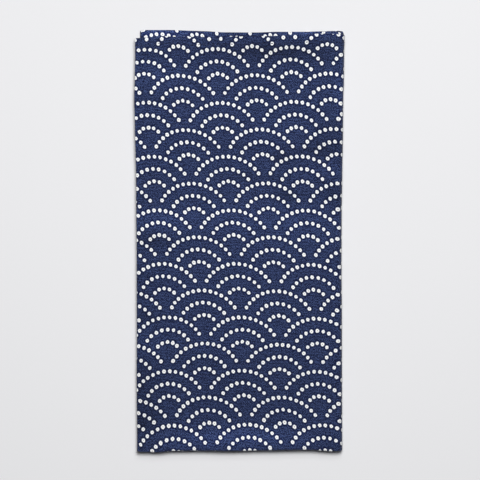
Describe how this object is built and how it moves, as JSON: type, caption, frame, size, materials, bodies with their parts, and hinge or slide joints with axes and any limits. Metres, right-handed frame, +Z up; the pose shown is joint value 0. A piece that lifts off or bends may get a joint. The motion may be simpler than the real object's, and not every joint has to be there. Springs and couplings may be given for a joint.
{
  "type": "furoshiki",
  "caption": "Cotton wrapping cloth folded flat into a long rectangle of stacked layers, indigo with a dotted wave print; it rests on a surface.",
  "frame": {"origin": "under the middle of the folded cloth's box, on the surface that it rests on", "axes": "+Z up; +Y from the lower fold to the hems, along the length; +X towards the last fold of the book fold"},
  "size_m": [0.1262, 0.2554, 0.0107],
  "materials": {
    "indigo_cotton": "matte plain-weave cotton, dyed indigo, with a print of white dots in overlapping wave arcs"
  },
  "bodies": {
    "root": {"cloth": "indigo_cotton"}
  },
  "joints": []
}
